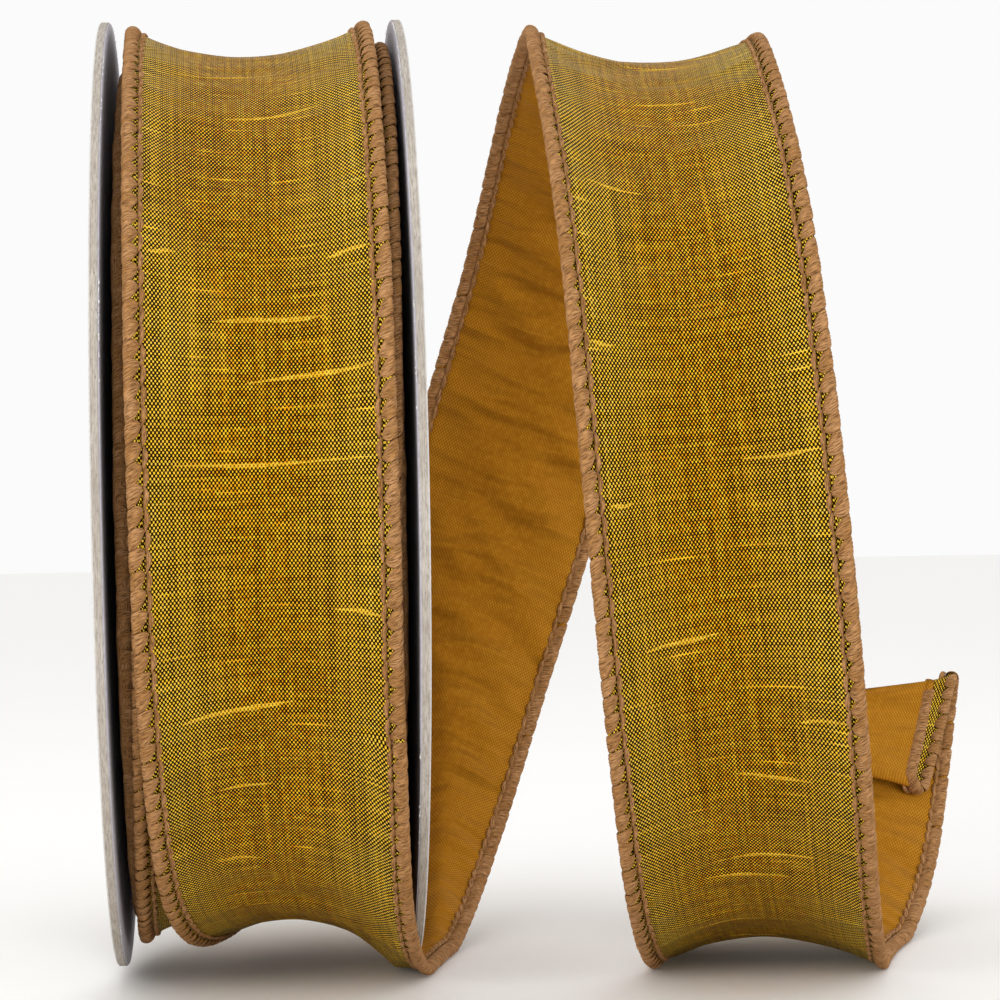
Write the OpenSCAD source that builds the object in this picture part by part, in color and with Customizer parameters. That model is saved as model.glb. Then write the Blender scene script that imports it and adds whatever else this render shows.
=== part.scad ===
// A spool of wired-edge ribbon: two board flanges on a tube core, the wound ribbon,
// and the loose end of the ribbon that stands beside the spool in open loops.
// The axis of the spool is X, Z is up, and the origin is the centre of the bore.

/* [Spool] */
// Diameter of a flange
flange_d = 140; // [138:0.5:142]
// Width of the spool over both flanges
spool_w = 44; // [43.6:0.1:44.4]
// Thickness of the board in a flange
board_t = 1.0; // [0.8:0.1:1.0]
// Thickness of a paper liner on the board
liner_t = 0.2; // [0.1:0.05:0.2]
// How far a paper liner stops short of the rim
liner_inset = 0.2; // [0.1:0.1:0.5]
// Diameter of the hole for a dowel
bore_d = 26; // [20:0.5:40]

/* [Core] */
// Outer diameter of the tube without its wrap
core_d = 50.8; // [49:0.2:51]
// Wall of the tube
core_wall = 1.5; // [1:0.1:2.5]
// Thickness of the wrap around the tube
wrap_t = 0.2; // [0.1:0.05:0.2]
// Leg of the glue fillet where the tube meets a flange
glue_leg = 1.4; // [0.8:0.1:2]
// Thickness of the tape that holds the ribbon's start
tape_t = 0.15; // [0.05:0.05:0.15]
// Width of that tape along the axis
tape_w = 24; // [10:1:30]
// Angle that the tape covers around the tube
tape_angle = 50; // [20:5:90]

/* [Wound ribbon] */
// Radius of the wound pack at its edges
pack_r = 64.2; // [62:0.1:64.3]
// How far the pack's middle lies below its edges
pack_dip = 3.6; // [3.4:0.1:5]
// How far the woven part stays below the edges where they meet
pack_step = 0.6; // [0.4:0.1:1]
// Half width of the pack's woven part
pack_half = 17.0; // [16:0.1:17]
// Thickness of the stitched edges along the axis, in the pack
pack_edge_w = 2.5; // [2:0.1:2.8]

/* [Free ribbon] */
// Flat width of the ribbon over its stitched edges
ribbon_w = 37; // [36.8:0.1:37.2]
// Thickness of the woven part
web_t = 0.4; // [0.3:0.1:0.4]
// Diameter of a stitched edge
edge_d = 2.0; // [1.6:0.1:2.0]
// Diameter of the wire inside a stitched edge
wire_d = 0.4; // [0.3:0.1:0.5]
// Height of the table below the axis
table_drop = 71.6; // [71.6:0.1:72]
// Length of the flap that is folded over at the ribbon's end
flap_len = 17; // [12:1:18]

/* [Hidden] */
$fn = 96;
ring_facets = 360;

gold = "#a87a22";
thread = "#a0764e";
board_grey = "#a59c90";
paper_white = "#eceae6";
paper_grey = "#c6c4cb";

flange_r = flange_d / 2;
half_w = spool_w / 2;
face_x = half_w - board_t - 2 * liner_t;  // inner face of a flange
core_r = core_d / 2;
tape_r = core_r + wrap_t;
pack_bore_r = tape_r + tape_t + 0.05;

// The route of the free ribbon. An angle of 0 is above the axis, 90 is in front, 180 is below
// and 270 is behind, and it goes on counting up from turn to turn.
route_start = -370;
second_end = -60;
loose_end = 165;
rise_end = 360;
fall_end = 540;
curl_end = 593.5;
ring_step = 10;
station_step = 30;
first_station = -90;
// One row each 30 degrees: place of the middle along the axis, radius of the left edge,
// radius of the right edge, dip of the middle below its edges.
stations = [
    [0.1, 65.9, 65.9, 4.4],
    [0.3, 66.4, 66.4, 4.4],
    [0.1, 68.0, 67.8, 4.2],
    [-0.4, 68.5, 69.0, 4.1],
    [-0.2, 68.5, 68.8, 4.1],
    [0.1, 68.4, 68.4, 4.1],
    [0.4, 68.2, 68.2, 4.2],
    [1.1, 68.0, 68.4, 4.4],
    [3.2, 67.4, 71.4, 4.6],
    [9.2, 66.8, 71.6, 5.2],
    [18.2, 71.0, 71.4, 6.0],
    [29.5, 71.8, 71.2, 6.0],
    [42.0, 71.6, 70.5, 5.5],
    [52.3, 70.2, 69.5, 5.0],
    [57.2, 69.0, 67.5, 4.4],
    [58.5, 68.0, 66.4, 4.2],
    [56.6, 69.0, 68.5, 5.0],
    [57.2, 70.0, 70.5, 5.6],
    [59.1, 70.5, 72.0, 5.6],
    [62.9, 71.0, 73.0, 5.2],
    [68.7, 72.0, 74.0, 4.8],
    [77.6, 71.2, 73.0, 4.4],
    [91.5, 66.5, 67.5, 4.4],
    [100.5, 61.5, 61.5, 2.4],
    [106.0, 58.0, 58.0, -5.0]];
// The second turn lies tight on the pack and drifts from side to side between the flanges.
second_x = 0.5;
second_drift = 1.7;
second_phase = 345;
second_r = 65.9;
second_dip = 4.4;

// The end of the curl is cut and folded on a slant, which grows along the curl.
end_slant = 6.5;
end_sag = 2;
slant_start = 540;

edge_r = edge_d / 2;
edge_span = ribbon_w - edge_d;            // flat distance between the centres of the edges
rim_x = half_w - (half_w - face_x) / 2;
rim_gap = 0.65;                           // the web rides clear of the flange's rim
rim_r = flange_r + web_t / 2 + rim_gap;
rim_flat = 2.6;
rim_slope = 0.9;
rim_soft = 1.2;                          // how gently the web takes to the rim
web_points = 15;
edge_sides = 8;
wire_sides = 6;
web_reach = 1 - 0.7 * edge_r / (edge_span / 2);

// The folded end: each row is a distance past the end of the curl, a drop inside the ribbon and
// a slide along the axis. The strip bends over, runs back inside, bends again and runs up once more.
bend_r = 1.2;
bend_angles = [60:-30:-60];
flap_steps = 4;
flap_droop = 1.0;
last_layer = 16;
last_lift = 0.9;
slides = [0, -0.8, -3.2, -5.6, -4.4];
function part_way(from, to, f) = from + (to - from) * f;
function bend_share(a) = (90 - a) / 180;
fold_path = [[0, 0, 0],
    for (a = bend_angles)
        [bend_r * cos(a), bend_r * (sin(a) - 1), part_way(slides[0], slides[1], bend_share(a))],
    for (i = [0:flap_steps]) let (f = i / flap_steps)
        [-flap_len * f, -2 * bend_r - flap_droop * f, part_way(slides[1], slides[2], f)],
    for (a = bend_angles)
        [-flap_len - bend_r * cos(a), -3 * bend_r - flap_droop + bend_r * sin(a),
            part_way(slides[2], slides[3], bend_share(a))],
    for (i = [0:flap_steps]) let (f = i / flap_steps)
        [-flap_len + last_layer * f, -4 * bend_r - flap_droop + last_lift * f,
            part_way(slides[3], slides[4], f)]];

function station(i) = i >= 0
    ? stations[min(i, len(stations) - 1)]
    : [second_x + second_drift * cos(first_station + i * station_step + second_phase),
       second_r, second_r, second_dip];

// A smooth curve through the rows, by the cubic that passes through each of them.
function blend_rows(a, b, c, d, f) = b + 0.5 * f * ((c - a)
    + f * ((2 * a - 5 * b + 4 * c - d) + f * (3 * (b - c) + d - a)));
function row_at(t) =
    let (s = (t - first_station) / station_step, i = floor(s))
    blend_rows(station(i - 1), station(i), station(i + 1), station(i + 2), s - i);

function around(x, r, t) = [x, -r * sin(t), r * cos(t)];
function on_table(p, lift) = [p.x, p.y, max(p.z, lift - table_drop)];

// How steeply the route climbs along the axis at an angle.
function climb(t) =
    let (row = row_at(t), step = row_at(t + 2)[0] - row_at(t - 2)[0])
    atan(step * 180 / (4 * PI) / ((row[1] + row[2]) / 2));

// The turn of a line across the ribbon where the curl nears its slanted, sagging end.
function slant(t, u) =
    let (f = min(1, max(0, (t - slant_start) / (curl_end - slant_start))))
    f * f * (end_slant * u - end_sag * (1 - u * u));

// Half of the straight distance between the edges, once the web has dipped and tilted.
function half_chord(row) =
    let (across = edge_span - 8 * row[3] * row[3] / (3 * edge_span))
    sqrt(across * across - pow(row[2] - row[1], 2)) / 2;

// The web is held out where it crosses the rim of the right flange.
function soft_max(a, b, soft) = (a + b + sqrt(pow(a - b, 2) + soft * soft)) / 2;
function over_rim(x, r) =
    soft_max(r, rim_r - rim_slope * max(0, abs(x - rim_x) - rim_flat), rim_soft);

// A point of the ribbon: u runs from -1 at the left edge to 1 at the right edge.
function ribbon_point(t, u, drop = 0, shift = 0) =
    let (row = row_at(t), c = climb(t), h = half_chord(row), mean = (row[1] + row[2]) / 2,
         x = row[0] + u * h * cos(c),
         r = row[1] + (row[2] - row[1]) * (u + 1) / 2 - row[3] * (1 - u * u),
         held = (t > 120 && t < 300) ? over_rim(x, r) : r,
         turned = t + slant(t, u) - u * h * sin(c) / mean * 180 / PI)
    around(x + shift, held + drop, turned);

// A closed strip through rings of points that all have the same, even number of points. Each end
// is closed by narrow strips between the two halves of its ring.
module skin_rings(rings) {
    n = len(rings[0]);
    m = len(rings);
    base = (m - 1) * n;
    sides = [for (i = [0:m - 2], j = [0:n - 1])
        [i * n + j, i * n + (j + 1) % n, (i + 1) * n + (j + 1) % n, (i + 1) * n + j]];
    pairs = [for (j = [0:n / 2 - 2]) [j, j + 1, n - 2 - j, n - 1 - j]];
    first = [for (q = pairs) [q[3], q[2], q[1], q[0]]];
    last = [for (q = pairs) [for (k = q) base + k]];
    tris = [for (q = concat(sides, first, last), k = [0, 1])
        k == 0 ? [q[2], q[1], q[0]] : [q[3], q[2], q[0]]];
    polyhedron([for (ring = rings, p = ring) p], tris, convexity = 10);
}

function angles(t0, t1) =
    let (n = ceil((t1 - t0) / ring_step))
    [for (i = [0:n]) t0 + (t1 - t0) * i / n];

// Both faces of the web at an angle; where they meet the table, one stays a web's thickness above it.
function web_ring(t) =
    [for (side = [1, -1], i = [0:web_points - 1])
        let (u = side * web_reach * (1 - 2 * i / (web_points - 1)))
        on_table(ribbon_point(t, u, side * web_t / 2), side > 0 ? 0.02 : web_t + 0.02)];

module web(t0, t1) {
    color(gold)
        skin_rings([for (t = angles(t0, t1)) web_ring(t)]);
}

function unit(v) = v / norm(v);
// A circle of points around a path, square to the way the path runs.
function tube_ring(p, ahead, radius, sides) =
    let (way = unit(ahead), out = unit(cross(way, [1, 0, 0])), side = cross(out, way))
    [for (j = [0:sides - 1])
        let (a = -360 * j / sides) p + radius * (cos(a) * out + sin(a) * side)];

function edge_point(u, t) = on_table(ribbon_point(t, u), edge_r);

module edge(u, t0, t1, radius, sides) {
    skin_rings([for (t = angles(t0, t1))
        tube_ring(edge_point(u, t), edge_point(u, t + 1) - edge_point(u, t - 1), radius, sides)]);
}

module stitched_edge(u, t0, t1) {
    color(thread)
        edge(u, t0, t1, edge_r, edge_sides);
}

module edge_wire(u) {
    color("silver")
        edge(u, route_start + 1, curl_end - 1, wire_d / 2, wire_sides);
}

// A point beside the fold path: lean is how far it stands off the path, u as in ribbon_point.
function fold_point(k, u, lean = 0) =
    let (near = fold_path[max(k - 1, 0)],
         far = fold_path[min(k + 1, len(fold_path) - 1)],
         way = k == 0 ? [1, 0] : unit([far[0] - near[0], far[1] - near[1]]),
         row = fold_path[k],
         past = row[0] - lean * way[1],
         drop = row[1] + lean * way[0])
    ribbon_point(curl_end + past * 180 / (PI * row_at(curl_end)[1]), u, drop, row[2]);

module folded_web() {
    color(gold)
        skin_rings([for (k = [0:len(fold_path) - 1])
            [for (side = [1, -1], i = [0:web_points - 1])
                fold_point(k, side * web_reach * (1 - 2 * i / (web_points - 1)), side * web_t / 2)]]);
}

module folded_edge(u) {
    last = len(fold_path) - 1;
    color(thread)
        skin_rings([for (k = [0:last])
            tube_ring(fold_point(k, u), fold_point(min(k + 1, last), u) - fold_point(max(k - 1, 0), u),
                edge_r, edge_sides)]);
}

// A flat ring on the axis, from x0 to x1.
module washer(x0, x1, outer_r, inner_r) {
    translate([x0, 0, 0])
        rotate([0, 90, 0])
            difference() {
                cylinder(h = x1 - x0, r = outer_r, $fn = ring_facets);
                translate([0, 0, -1])
                    cylinder(h = x1 - x0 + 2, r = inner_r, $fn = ring_facets);
            }
}

module flange_board(side) {
    x0 = half_w - liner_t - board_t;
    color(board_grey)
        washer(side > 0 ? x0 : -x0 - board_t, side > 0 ? x0 + board_t : -x0, flange_r, bore_d / 2);
}

module outer_liner(side) {
    x0 = half_w - liner_t;
    color(paper_white)
        washer(side > 0 ? x0 : -half_w, side > 0 ? half_w : -x0, flange_r - liner_inset, bore_d / 2);
}

module inner_liner(side) {
    x1 = face_x + liner_t;
    color(paper_grey)
        washer(side > 0 ? face_x : -x1, side > 0 ? x1 : -face_x, flange_r - liner_inset, bore_d / 2);
}

module core_tube() {
    color("#b39b7d")
        washer(-face_x, face_x, core_r, core_r - core_wall);
}

module core_wrap() {
    color("#c9b08c")
        washer(-face_x, face_x, core_r + wrap_t, core_r);
}

module glue_fillet(side) {
    wall = core_r - core_wall;
    color("#e6dcb8")
        rotate([0, 90, 0])
            rotate_extrude()
                polygon([[wall, side * face_x], [wall - glue_leg, side * face_x],
                    [wall, side * (face_x - glue_leg)]]);
}

module start_tape() {
    color("#d9c795")
        rotate([0, 90, 0])
            rotate_extrude(angle = tape_angle)
                translate([tape_r, -tape_w / 2])
                    square([tape_t, tape_w]);
}

// The outline of the pack's woven part, whose outside dips between the edges.
module wound_web() {
    steps = 16;
    top = [for (i = [0:steps])
        let (x = pack_half * (1 - 2 * i / steps))
        [pack_r - pack_step - pack_dip * (1 - pow(x / pack_half, 2)), x]];
    color(gold)
        rotate([0, 90, 0])
            rotate_extrude($fn = ring_facets)
                polygon(concat([[pack_bore_r, -pack_half], [pack_bore_r, pack_half]], top));
}

module wound_edge(side) {
    half = pack_edge_w / 2;
    middle = side * (pack_half + half);
    color(thread)
        rotate([0, 90, 0])
            rotate_extrude($fn = ring_facets)
                union() {
                    translate([pack_bore_r, middle - half])
                        square([pack_r - half - pack_bore_r, pack_edge_w]);
                    translate([pack_r - half, middle])
                        circle(r = half, $fn = 32);
                }
}

flange_board(-1);  // left_flange_board
flange_board(1);  // right_flange_board
outer_liner(-1);  // left_outer_liner
outer_liner(1);  // right_outer_liner
inner_liner(-1);  // left_inner_liner
inner_liner(1);  // right_inner_liner
core_tube();
core_wrap();
glue_fillet(-1);  // left_glue_fillet
glue_fillet(1);  // right_glue_fillet
start_tape();
wound_web();
wound_edge(-1);  // wound_left_edge
wound_edge(1);  // wound_right_edge
web(route_start, second_end);  // second_turn_web
stitched_edge(-1, route_start, second_end);  // second_turn_left_edge
stitched_edge(1, route_start, second_end);  // second_turn_right_edge
web(second_end, loose_end);  // loose_turn_web
stitched_edge(-1, second_end, loose_end);  // loose_turn_left_edge
stitched_edge(1, second_end, loose_end);  // loose_turn_right_edge
web(loose_end, rise_end);  // tail_rise_web
stitched_edge(-1, loose_end, rise_end);  // tail_rise_left_edge
stitched_edge(1, loose_end, rise_end);  // tail_rise_right_edge
web(rise_end, fall_end);  // tail_fall_web
stitched_edge(-1, rise_end, fall_end);  // tail_fall_left_edge
stitched_edge(1, rise_end, fall_end);  // tail_fall_right_edge
web(fall_end, curl_end);  // tail_curl_web
stitched_edge(-1, fall_end, curl_end);  // tail_curl_left_edge
stitched_edge(1, fall_end, curl_end);  // tail_curl_right_edge
edge_wire(-1);  // left_edge_wire
edge_wire(1);  // right_edge_wire
folded_web();  // folded_end_web
folded_edge(-1);  // folded_end_left_edge
folded_edge(1);  // folded_end_right_edge
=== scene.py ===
# %% [markdown]
# # A spool of wired-edge ribbon
# The object is a board spool that holds a wound ribbon, with the ribbon's loose end standing
# beside it in open loops. The CAD model gives the sizes and the places. This file gives the looks:
# shot cloth with its slubs, overlocked edges with real stitches, chipboard and paper.
# Lengths in this file are in millimetres, and one function turns them into Blender's metres.

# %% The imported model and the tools
import math

import bpy
import numpy as np
from mathutils import Matrix


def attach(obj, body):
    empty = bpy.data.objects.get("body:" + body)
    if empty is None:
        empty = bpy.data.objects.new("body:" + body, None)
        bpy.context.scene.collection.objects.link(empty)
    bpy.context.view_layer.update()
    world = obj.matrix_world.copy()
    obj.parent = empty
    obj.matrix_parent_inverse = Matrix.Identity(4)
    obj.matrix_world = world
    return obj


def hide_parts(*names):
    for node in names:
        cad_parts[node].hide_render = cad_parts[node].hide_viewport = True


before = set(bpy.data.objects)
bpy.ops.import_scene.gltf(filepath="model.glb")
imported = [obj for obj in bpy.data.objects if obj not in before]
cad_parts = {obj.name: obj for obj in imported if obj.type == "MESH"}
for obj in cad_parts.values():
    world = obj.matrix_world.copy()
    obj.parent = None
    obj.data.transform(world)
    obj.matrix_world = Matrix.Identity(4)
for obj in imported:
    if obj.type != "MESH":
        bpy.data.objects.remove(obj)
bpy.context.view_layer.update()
MM = 0.001

# %% [markdown]
# ## The camera and the studio
# The ribbon is looked at from straight in front and from half a metre away, with a long lens.
# A camera matrix is built from its yaw, pitch and roll, because a product camera is set by angles.
# The floor is one wide pale disc, so that its far edge melts into the pale background.

# %% Camera
CAMERA_AT = (-0.78, -512.98, -3.84)
CAMERA_TURN = (4.12, 0.21, -1.13)  # yaw, pitch and roll in degrees
LENS = 122.65


def camera_axes(yaw, pitch, roll):
    """Right, up and forward of a level camera that is turned, tipped and then rolled."""
    forward = np.array([math.sin(yaw) * math.cos(pitch), math.cos(yaw) * math.cos(pitch), math.sin(pitch)])
    level = np.array([math.cos(yaw), -math.sin(yaw), 0.0])
    above = np.cross(level, forward)
    right = math.cos(roll) * level + math.sin(roll) * above
    up = -math.sin(roll) * level + math.cos(roll) * above
    return right, up, forward


right, up, forward = camera_axes(*np.radians(CAMERA_TURN))
lens = bpy.data.cameras.new("studio_camera")
lens.lens = LENS
lens.clip_start, lens.clip_end = 0.01, 20
camera = bpy.data.objects.new("studio_camera", lens)
camera.matrix_world = Matrix(
    [[right[i], up[i], -forward[i], CAMERA_AT[i] * MM] for i in range(3)] + [[0, 0, 0, 1]]
)
bpy.context.scene.collection.objects.link(camera)
bpy.context.scene.camera = camera
bpy.context.scene.view_settings.view_transform = "Standard"
print("camera stands", round(-CAMERA_AT[1]), "mm in front of the spool's axis")

# %% [markdown]
# ## Colour and nodes
# Paint and cloth colours are read from samples as sRGB hex values, but Blender mixes light in
# linear values. One function does that conversion for every colour in the file.
# A second small function adds a shader node with its settings and its links, so that a material
# reads as a list of what it is made of.


# %% Colour and node helpers
def linear(hex_colour):
    """An sRGB hex colour as linear red, green, blue and alpha."""
    parts = [int(hex_colour[i : i + 2], 16) / 255 for i in (1, 3, 5)]
    return [c / 12.92 if c <= 0.04045 else ((c + 0.055) / 1.055) ** 2.4 for c in parts] + [1.0]


def add(tree, kind, settings=None, **sockets):
    """A node with its settings; a socket's value is a number, a colour or another node's output."""
    node = tree.nodes.new(kind)
    for name, value in (settings or {}).items():
        setattr(node, name, value)
    for name, value in sockets.items():
        key = int(name[1:]) if name[0] == "i" and name[1:].isdigit() else name.replace("_", " ")
        if isinstance(value, bpy.types.NodeSocket):
            tree.links.new(value, node.inputs[key])
        else:
            node.inputs[key].default_value = value
    return node


def new_material(name):
    """An empty material with its shader and its output joined."""
    material = bpy.data.materials.new(name)
    material.use_nodes = True
    tree = material.node_tree
    tree.nodes.clear()
    shader = tree.nodes.new("ShaderNodeBsdfPrincipled")
    output = tree.nodes.new("ShaderNodeOutputMaterial")
    tree.links.new(shader.outputs[0], output.inputs[0])
    return material, tree, shader


print("yellow weft in linear values:", [round(c, 3) for c in linear("#f6c21c")])

# %% [markdown]
# ## Floor and light
# The object is lit like a catalogue product: a large soft light at each side of the camera,
# one from above, and a pale surrounding that fills the shadows. Soft lights are large area
# lights, because the softness of a shadow comes from the size of the light as seen from the object.

# %% Floor, lights and surrounding
FLOOR_Z = -71.6
FLOOR_R = 4000.0
floor_mesh = bpy.data.meshes.new("studio_floor")
ring = [
    (FLOOR_R * MM * math.cos(a), FLOOR_R * MM * math.sin(a), (FLOOR_Z - 0.02) * MM)
    for a in np.radians(np.arange(0, 360, 5))
]
floor_mesh.from_pydata(ring, [], [list(range(len(ring)))])
floor = bpy.data.objects.new("studio_floor", floor_mesh)
bpy.context.scene.collection.objects.link(floor)
floor_paint, tree, shader = new_material("matt_white_painted_floor")
shader.inputs["Base Color"].default_value = linear("#f7f6f4")
shader.inputs["Roughness"].default_value = 0.9
floor_mesh.materials.append(floor_paint)

world = bpy.data.worlds.new("pale_studio")
world.use_nodes = True
world.node_tree.nodes["Background"].inputs[0].default_value = linear("#fbfbfb")
world.node_tree.nodes["Background"].inputs[1].default_value = 1.0
bpy.context.scene.world = world


def soft_light(name, place, target, size, watts):
    """A square area light that looks at a point."""
    light = bpy.data.lights.new(name, "AREA")
    light.shape = "SQUARE"
    light.size = size * MM
    light.energy = watts
    holder = bpy.data.objects.new(name, light)
    away = np.array(place, float) - np.array(target, float)
    away /= np.linalg.norm(away)
    side = np.cross([0, 0, 1.0], away)
    side /= np.linalg.norm(side)
    top = np.cross(away, side)
    holder.matrix_world = Matrix(
        [[side[i], top[i], away[i], place[i] * MM] for i in range(3)] + [[0, 0, 0, 1]]
    )
    bpy.context.scene.collection.objects.link(holder)


soft_light("key_left", (-560, -640, 150), (40, 0, 0), 520, 3.0)
soft_light("fill_right", (640, -620, 60), (50, 0, 0), 480, 2.2)
soft_light("top_soft", (60, -60, 800), (50, 0, 0), 500, 0.6)
print("three soft lights and a pale surrounding")

# %% [markdown]
# ## The route of the ribbon
# The loose ribbon is one strip that goes round and round: two turns on the spool, then a wide
# loop beside it, then a curl that ends in a fold. It could be drawn as a free curve, but a strip
# that was wound is best told by an angle. At each angle a row says where the strip's middle is
# along the axis, how far its two edges are from the axis, and how deep it dips between them.
# The rows and formulas are the same as in the CAD model, so the looks and the solids agree.

# %% Rows of the route
ROUTE_START, SECOND_END, LOOSE_END, RISE_END, FALL_END, CURL_END = -370, -60, 165, 360, 540, 593.5
FIRST_STATION, STATION_STEP = -90, 30
STATIONS = [
    [0.1, 65.9, 65.9, 4.4], [0.3, 66.4, 66.4, 4.4], [0.1, 68.0, 67.8, 4.2], [-0.4, 68.5, 69.0, 4.1],
    [-0.2, 68.5, 68.8, 4.1], [0.1, 68.4, 68.4, 4.1], [0.4, 68.2, 68.2, 4.2], [1.1, 68.0, 68.4, 4.4],
    [3.2, 67.4, 71.4, 4.6], [9.2, 66.8, 71.6, 5.2], [18.2, 71.0, 71.4, 6.0], [29.5, 71.8, 71.2, 6.0],
    [42.0, 71.6, 70.5, 5.5], [52.3, 70.2, 69.5, 5.0], [57.2, 69.0, 67.5, 4.4], [58.5, 68.0, 66.4, 4.2],
    [56.6, 69.0, 68.5, 5.0], [57.2, 70.0, 70.5, 5.6], [59.1, 70.5, 72.0, 5.6], [62.9, 71.0, 73.0, 5.2],
    [68.7, 72.0, 74.0, 4.8], [77.6, 71.2, 73.0, 4.4], [91.5, 66.5, 67.5, 4.4], [100.5, 61.5, 61.5, 2.4],
    [106.0, 58.0, 58.0, -5.0],
]
SECOND_X, SECOND_DRIFT, SECOND_PHASE, SECOND_R, SECOND_DIP = 0.5, 1.7, 345, 65.9, 4.4
EDGE_SPAN = 35.0  # flat distance between the middles of the two stitched edges
EDGE_R = 1.0
RIM_X, RIM_R, RIM_FLAT, RIM_SLOPE, RIM_SOFT = 21.3, 70.85, 2.6, 0.9, 1.2
END_SLANT, END_SAG = 6.5, 2.0  # degrees that the folded end turns away from square, and sags
EARLIER = 14  # rows that come before the first one in the list

early_angles = FIRST_STATION + STATION_STEP * np.arange(-EARLIER, 0)
early_rows = [
    [SECOND_X + SECOND_DRIFT * math.cos(math.radians(a + SECOND_PHASE)), SECOND_R, SECOND_R, SECOND_DIP]
    for a in early_angles
]
ROWS = np.array(early_rows + STATIONS + [STATIONS[-1]] * 3)


def row_at(t):
    """Middle, left radius, right radius and dip at each angle: a smooth cubic through the rows."""
    s = (np.asarray(t, float) - FIRST_STATION) / STATION_STEP + EARLIER
    i = np.floor(s).astype(int)
    f = (s - i)[..., None]
    a, b, c, d = (ROWS[np.clip(i + k, 0, len(ROWS) - 1)] for k in (-1, 0, 1, 2))
    return b + 0.5 * f * ((c - a) + f * ((2 * a - 5 * b + 4 * c - d) + f * (3 * (b - c) + d - a)))


def ribbon_point(t, u, drop=0.0, shift=0.0):
    """A point of the ribbon: u is -1 at the left edge and 1 at the right one."""
    t, u = np.broadcast_arrays(np.asarray(t, float), np.asarray(u, float))
    x, left, right_r, dip = np.moveaxis(row_at(t), -1, 0)
    mean = (left + right_r) / 2
    climb = np.arctan((row_at(t + 2)[..., 0] - row_at(t - 2)[..., 0]) * 180 / (4 * np.pi) / mean)
    across = EDGE_SPAN - 8 * dip**2 / (3 * EDGE_SPAN)
    half = np.sqrt(across**2 - (right_r - left) ** 2) / 2
    place = x + u * half * np.cos(climb)
    r = left + (right_r - left) * (u + 1) / 2 - dip * (1 - u**2)
    rim = RIM_R - RIM_SLOPE * np.maximum(0, np.abs(place - RIM_X) - RIM_FLAT)
    held = (r + rim + np.sqrt((r - rim) ** 2 + RIM_SOFT**2)) / 2  # a soft maximum
    r = np.where((t > 120) & (t < 300), held, r) + drop
    near_end = np.clip((t - FALL_END) / (CURL_END - FALL_END), 0, 1) ** 2
    slant = near_end * (END_SLANT * u - END_SAG * (1 - u**2))
    turned = np.radians(t + slant) - u * half * np.sin(climb) / mean
    return np.stack([place + shift, -r * np.sin(turned), r * np.cos(turned)], -1)


def above_floor(points, lift):
    points = points.copy()
    points[..., 2] = np.maximum(points[..., 2], FLOOR_Z + lift)
    return points


ROUTE_T = np.arange(ROUTE_START, CURL_END + 0.01, 0.25)
ROUTE_MM = np.concatenate(
    [[0], np.cumsum(np.linalg.norm(np.diff(ribbon_point(ROUTE_T, 0), axis=0), axis=1))]
)


def along(t):
    """How far along the ribbon an angle is, in millimetres from the start of its second turn."""
    return np.interp(t, ROUTE_T, ROUTE_MM)


print("the free ribbon is", round(ROUTE_MM[-1]), "mm long")

# %% [markdown]
# ## Meshes from rings
# The cloth, the cords and every stitch are closed skins through rings of points, as a tailor's
# form is built from hoops. Many small pieces of the same kind share one set of faces, which is
# repeated with an offset: that builds hundreds of stitches at once.


# %% Ring meshes
def ring_faces(rings, points, copies=1):
    """Faces of closed skins: quads between neighbouring rings and a cap at each end."""
    i, j = np.meshgrid(np.arange(rings - 1), np.arange(points), indexing="ij")
    k = (j + 1) % points
    quads = np.stack([i * points + j, i * points + k, (i + 1) * points + k, (i + 1) * points + j], -1)
    quads = quads.reshape(-1, 4)
    caps = np.array([np.arange(points)[::-1], np.arange(points) + (rings - 1) * points])
    faces = []
    for n in range(copies):
        faces += (quads + n * rings * points).tolist() + (caps + n * rings * points).tolist()
    return faces


def signed_volume(points, faces):
    """Positive when the faces of the first skin look outwards."""
    total = 0.0
    for face in faces:
        a = points[face[0]]
        for k in range(1, len(face) - 1):
            total += np.dot(a, np.cross(points[face[k]], points[face[k + 1]]))
    return total


def new_piece(name, points, faces, materials, uv=None, face_material=None):
    """A smooth mesh object from millimetre points; uv is a pair of millimetres for each point."""
    points = np.asarray(points, float).reshape(-1, 3)
    mesh = bpy.data.meshes.new(name)
    mesh.from_pydata((points * MM).tolist(), [], faces)
    for material in materials:
        mesh.materials.append(material)
    if face_material is not None:
        mesh.polygons.foreach_set("material_index", np.asarray(face_material, np.int32))
    if uv is not None:
        corner = np.zeros(len(mesh.loops), np.int32)
        mesh.loops.foreach_get("vertex_index", corner)
        layer = mesh.uv_layers.new(name="cloth_mm")
        layer.data.foreach_set("uv", np.asarray(uv, np.float32).reshape(-1, 2)[corner].ravel())
    mesh.polygons.foreach_set("use_smooth", [True] * len(mesh.polygons))
    mesh.update()
    made = bpy.data.objects.new(name, mesh)
    bpy.context.scene.collection.objects.link(made)
    return made


print("a cube-like skin of 2 rings has", len(ring_faces(2, 4)), "faces")

# %% [markdown]
# ## Shot dupioni, the cloth of the ribbon
# The cloth is dupioni: a plain weave of a near-black warp and a bright yellow weft, so that each
# place where the weft lies on top is a yellow dot in a dark grid. Thick places in the weft, called
# slubs, show as yellow streaks. An even grid could come from an image, but a product of two sine
# waves gives the same checkered dots at the true thread spacing, and it can be pushed by noise.
# The wrong side is soft and brown, because the floats of the warp cover the weft there.

# %% Woven materials
WARP_MM = 0.265  # from one warp thread to the next
WEFT_MM = 0.36  # from one weft thread to the next


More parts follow.
